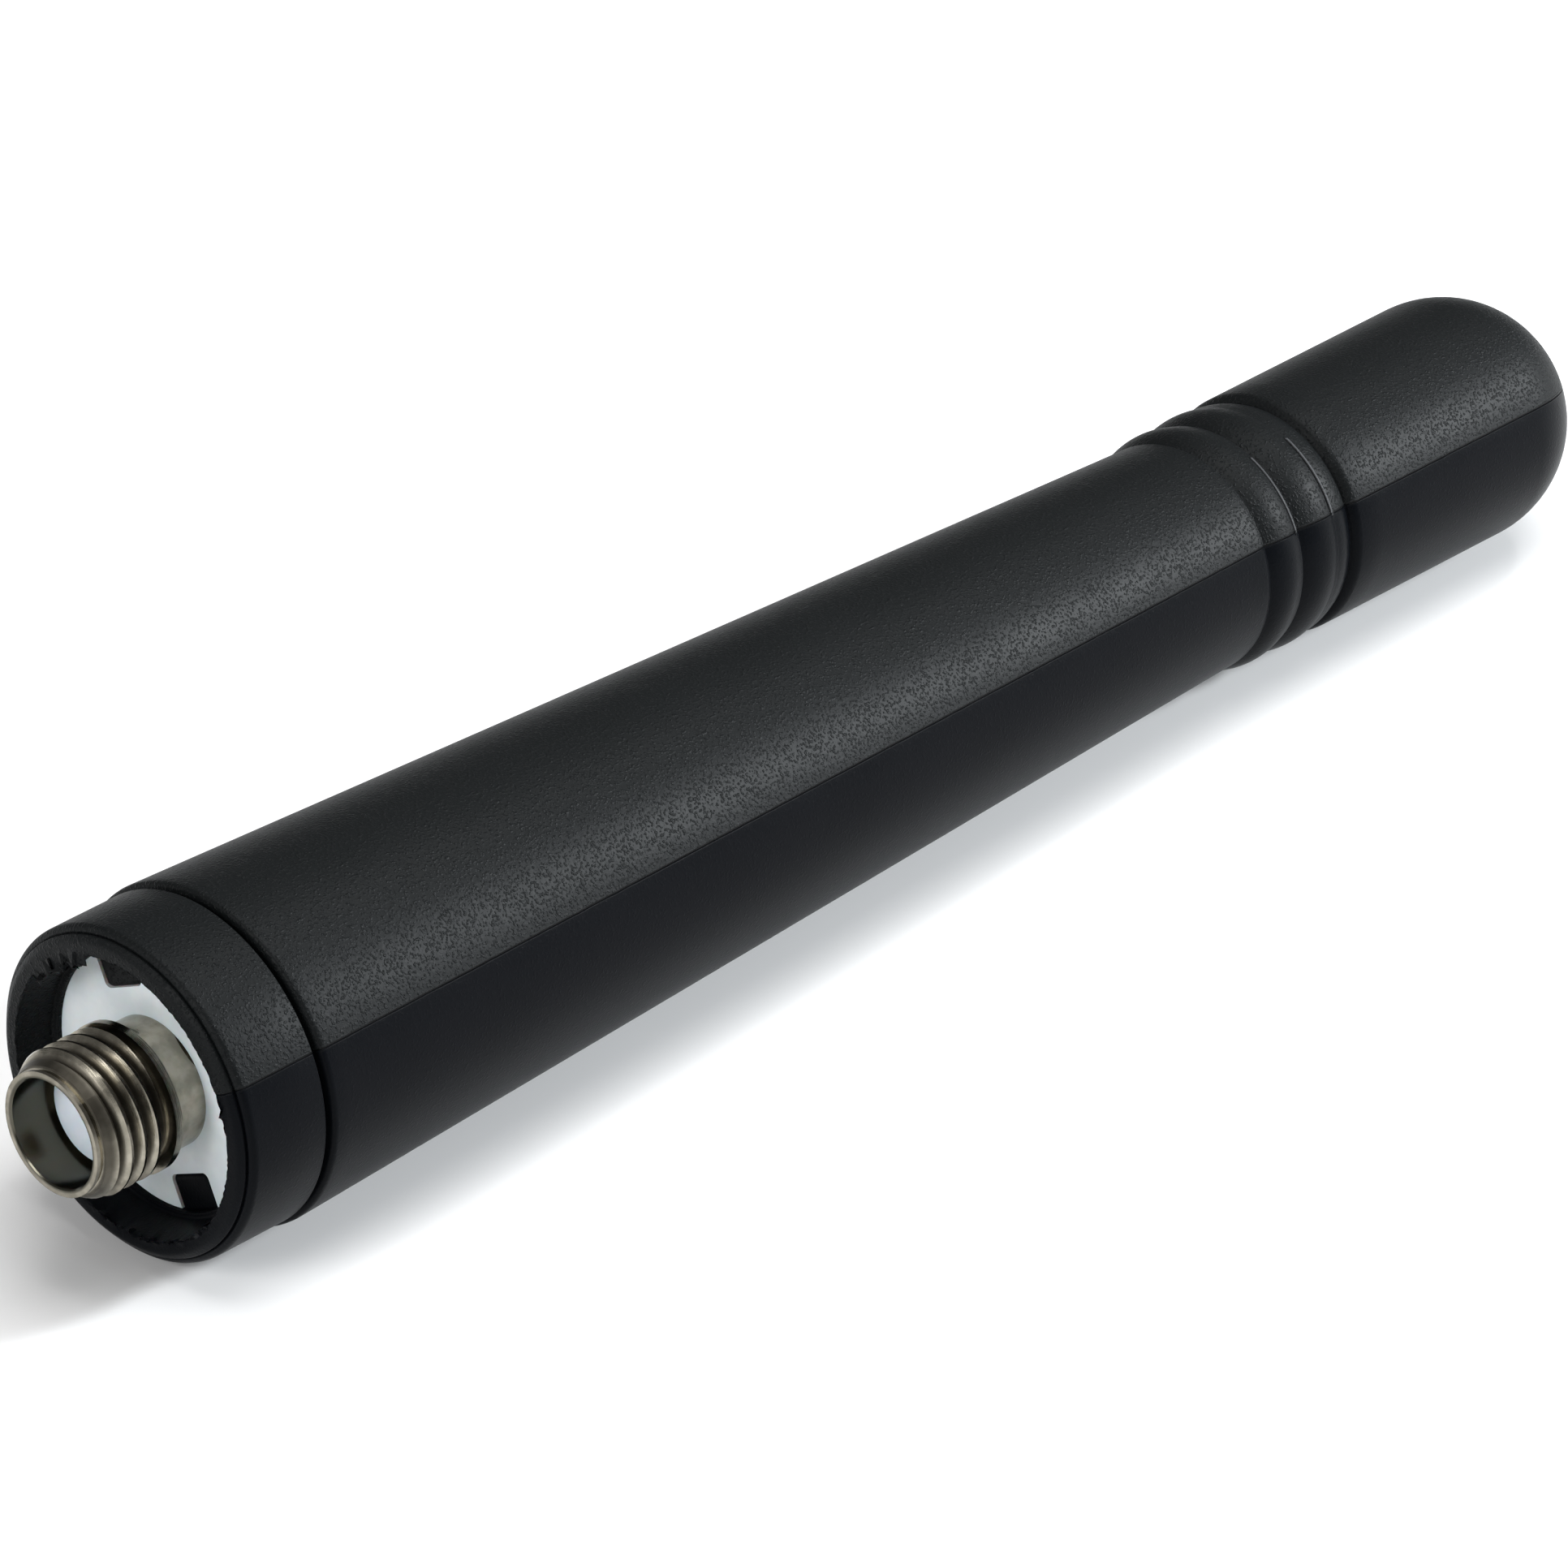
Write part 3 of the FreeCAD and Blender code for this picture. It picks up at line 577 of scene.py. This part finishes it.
def merged_copy(node, name):
    """A copy of a CAD node's mesh with its loose triangles joined."""
    piece = bpy.data.objects.new(name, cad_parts[node].data.copy())
    bpy.context.scene.collection.objects.link(piece)
    pick(piece)
    bpy.ops.object.mode_set(mode="EDIT")
    bpy.ops.mesh.select_all(action="SELECT")
    bpy.ops.mesh.remove_doubles(threshold=CAD_WELD)
    bpy.ops.object.mode_set(mode="OBJECT")
    smooth(piece)
    print(name, "has", len(piece.data.polygons), "faces")
    return piece


coil = merged_copy("helix_coil", "coil_winding")
for piece in (rod, sleeve):
    smooth(piece)

# %% [markdown]
# ## Plated brass
# The barrel is turned brass with a thin grey plating that has lost its shine in use. The
# tool left fine rings round it, which stretch each glint across them. The rings are noise
# squeezed along the axis. The valleys and the bore are told from the crests by their
# distance from the axis and get painted shade, so it sits on the thread wherever it is cut.

# %% Plated brass
plated, place, shader = new_finish("plated_brass")
radius = place.from_axis()
along = place.along((1, 0, 0))
in_thread = radius.between(2.6 * MM, 2.7 * MM) * (1 - along.between(1.5 * MM, 1.6 * MM))
in_valley = in_thread * (1 - radius.between(2.85 * MM, 3.08 * MM))
squeezed = place.node("ShaderNodeMapping", None, {"Vector": place, "Scale": (1, 0.02, 0.02)})
rings = squeezed.noise(0.035, detail=1.0)
dull = place.noise(0.8, detail=3.0)
fine = place.noise(0.12, detail=2.0)
tone = dull.between(0.35, 0.7).blended(colour(0.24, 0.223, 0.18), colour(0.40, 0.37, 0.305))
# Painted shade: the bore is painted a dark colour, for the shade that falls inside it.
bore_painted_shade = 1 - radius.between(2.4 * MM, 2.5 * MM)
tone = bore_painted_shade.blended(tone, colour(0.095, 0.09, 0.07))
# Painted shade: the thread's valleys are painted nearly black, for the shade in them; the same
# mask also makes them rougher.
tone = (in_valley * 0.8).blended(tone, colour(0.03, 0.026, 0.02))
put(shader, Base_Color=tone, Metallic=1.0, Roughness=0.14 + dull * 0.12 + in_valley * 0.25,
    Normal=(rings * 0.7 + fine * 0.3).bumped(0.006, 0.6))

# %% [markdown]
# ## Small metal pieces
# The contact is gold plated, the ring and the terminal are bare brass, the coil is copper
# wire and the joint is solder. Little or nothing of them shows, so each gets only two close
# tones in soft clouds and, where it is rougher, a fine relief. One helper makes all of them
# but the copper, which is made alongside.

# %% Gold, bare brass, copper and solder
def clouded(name, size_mm, dark, light, rough, metallic=0.0, relief=None):
    """Two close tones in soft clouds. A relief is its size, its height and its strength."""
    finish, place, shader = new_finish(name)
    tones = place.noise(size_mm).blended(colour(*dark), colour(*light))
    put(shader, Base_Color=tones, Metallic=metallic, Roughness=rough)
    if relief:
        put(shader, Normal=place.noise(relief[0]).bumped(*relief[1:]))
    return finish


gold = clouded("gold_plate", 0.4, (0.72, 0.48, 0.16), (0.9, 0.66, 0.28), 0.28, metallic=1.0)
brass = clouded("bare_brass", 0.8, (0.45, 0.31, 0.11), (0.62, 0.45, 0.18), 0.34,
                metallic=1.0, relief=(0.08, 0.004, 0.5))
copper, place, shader = new_finish("copper_wire")
put(shader, Base_Color=place.noise(1.2).blended(colour(0.5, 0.2, 0.1), colour(0.72, 0.34, 0.2)),
    Metallic=1.0, Roughness=0.3 + place.noise(0.3) * 0.15)
solder = clouded("solder", 0.3, (0.34, 0.35, 0.36), (0.5, 0.51, 0.52), 0.38,
                 metallic=1.0, relief=(0.25, 0.02, 0.5))

# %% [markdown]
# ## White plastics
# The disc in the mouth is white nylon with faint turned arcs, and light sinks a little way
# into it. The insulator at the bottom of the bore is waxy and more blue. A rod of natural
# nylon, which is yellower, is hidden inside.

# %% White plastics
nylon, place, shader = new_finish("white_nylon")
radius = place.from_axis()
ARC_SPACING = 0.55 * MM
arcs = (radius * (2 * math.pi / ARC_SPACING)).sine()
mottle = place.noise(1.6, detail=3.0)
tone = mottle.between(0.3, 0.7).blended(colour(0.74, 0.80, 0.83), colour(0.84, 0.89, 0.91))
put(shader, Base_Color=tone, Roughness=0.36 + mottle * 0.12,
    Subsurface_Weight=0.25, Subsurface_Scale=0.6 * MM,
    Normal=(arcs * 0.5 + mottle).bumped(0.01, 0.4))
waxy, place, shader = new_finish("white_insulator")
mottle = place.noise(0.5, detail=2.0)
put(shader, Base_Color=mottle.blended(colour(0.68, 0.75, 0.84), colour(0.80, 0.86, 0.92)),
    Roughness=0.42, Subsurface_Weight=0.3, Subsurface_Scale=0.5 * MM,
    Normal=mottle.bumped(0.01, 0.3))
natural = clouded("natural_nylon", 2.0, (0.66, 0.63, 0.52), (0.75, 0.73, 0.64), 0.45)

# %% [markdown]
# ## Dark plastics
# The shrunk sleeve, the plug at the tip and the epoxy behind the barrel are all black and
# all hidden. They differ in how smooth they are and in the size of their relief.

# %% Sleeve, plug and epoxy
film = clouded("sleeve_film", 3.0, (0.012, 0.012, 0.014), (0.02, 0.02, 0.022), 0.42,
               relief=(1.0, 0.03, 0.4))
plug = clouded("plug_plastic", 1.5, (0.016, 0.016, 0.016), (0.024, 0.024, 0.024), 0.5,
               relief=(0.2, 0.01, 0.4))
epoxy = clouded("epoxy", 0.8, (0.01, 0.01, 0.012), (0.02, 0.02, 0.024), 0.2,
                relief=(0.6, 0.02, 0.3))

# %% [markdown]
# ## Dressing the pieces
# Pieces whose CAD shape is right stay as they are and only get a finish. The rod, the
# sleeve and the coil, which were made again, get theirs too.

# %% Give the pieces their finishes
CAD_FINISHES = {
    "connector_insulator": waxy,
    "centre_contact": gold,
    "retaining_ring": brass,
    "rear_potting": epoxy,
    "base_disc": nylon,
    "feed_terminal": brass,
    "solder_joint": solder,
    "tip_plug": plug,
    "connector_shell": plated,
}
for node, finish in CAD_FINISHES.items():
    dress(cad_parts[node], finish)
for piece, finish in ((rod, natural), (sleeve, film), (coil, copper)):
    dress(piece, finish)
print("pieces dressed:", len(CAD_FINISHES) + 4)

# %% [markdown]
# ## Floor and light
# The antenna lies on a pale floor. It tapers, so it leans towards its tip: the floor
# touches the start of the taper and the tip, a slope of one degree against the axis. Four
# square lamps light it: one at the side beyond the tip, a broad one in front of the mouth, a
# small faint one high beyond the tip, and a broad one above. A black surface shows little
# but the lamps it mirrors, so they are placed for their gleams, and a dim white world does
# the rest.

# %% Floor
FLOOR_GAP = 0.01
WORLD_STRENGTH = 0.2
floor_slope = math.atan2(BODY_START[1] - TIP_RADIUS, TIP_END - BODY_START[0])
clear_selection()
bpy.ops.mesh.primitive_plane_add(size=6)
floor = bpy.context.object
floor.name = "floor"
floor.rotation_euler = (0, -floor_slope, 0)
floor.location = Vector((BODY_START[0], 0, -BODY_START[1] - FLOOR_GAP)) * MM
floor_finish, place, shader = new_finish("pale_floor")
put(shader, Base_Color=colour(0.9, 0.9, 0.9), Roughness=0.9, Specular_IOR_Level=0.1)
floor.data.materials.append(floor_finish)
print("floor slopes by", round(math.degrees(floor_slope), 2), "degrees")

# %% Light
world = bpy.data.worlds.new("pale_room")
world.use_nodes = True
background = world.node_tree.nodes["Background"]
background.inputs["Color"].default_value = colour(1, 1, 1)
background.inputs["Strength"].default_value = WORLD_STRENGTH
bpy.context.scene.world = world
bpy.context.scene.view_settings.view_transform = "Standard"


def lamp(name, towards, distance, width, power, tint=(1, 1, 1), target=(55, 0, 0)):
    """A square soft lamp that looks at a point of the antenna, in millimetres."""
    light = bpy.data.lights.new(name, "AREA")
    light.shape = "SQUARE"
    light.size = width * MM
    light.energy = power
    light.color = tint
    holder = bpy.data.objects.new(name, light)
    bpy.context.scene.collection.objects.link(holder)
    direction = Vector(towards).normalized()
    holder.location = Vector(target) * MM + direction * distance * MM
    holder.rotation_euler = direction.to_track_quat("Z", "Y").to_euler()
    print(name, "gives", power, "W")


lamp("side_lamp", (0.727, -0.57, 0.41), 500, 80, 3.6, tint=(0.93, 0.97, 1.0))
lamp("front_lamp", (-0.88, 0.05, 0.47), 700, 300, 2.3, target=(20, 0, 0))
lamp("crest_lamp", (0.67, -0.02, 0.745), 500, 50, 0.25, target=(0, 0, 0))
lamp("top_lamp", (0.1, -0.1, 0.99), 450, 330, 1.5, target=(15, 0, 0))

# %% [markdown]
# ## The whip's pieces in place of the CAD nodes
# The jack and what is fixed to it stay still, and the whip bends. The CAD nodes of the
# moulding and the core are hidden here, and the pieces made in their place get their
# placement baked into their meshes.

# %% Hide the whip's CAD nodes
BENT_PIECES = (
    (moulding, "sheath"), (rod, "coil_former"), (sleeve, "shrink_sleeve"), (coil, "helix_coil"),
)
for piece, node in BENT_PIECES:
    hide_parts(node)
    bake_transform(piece)
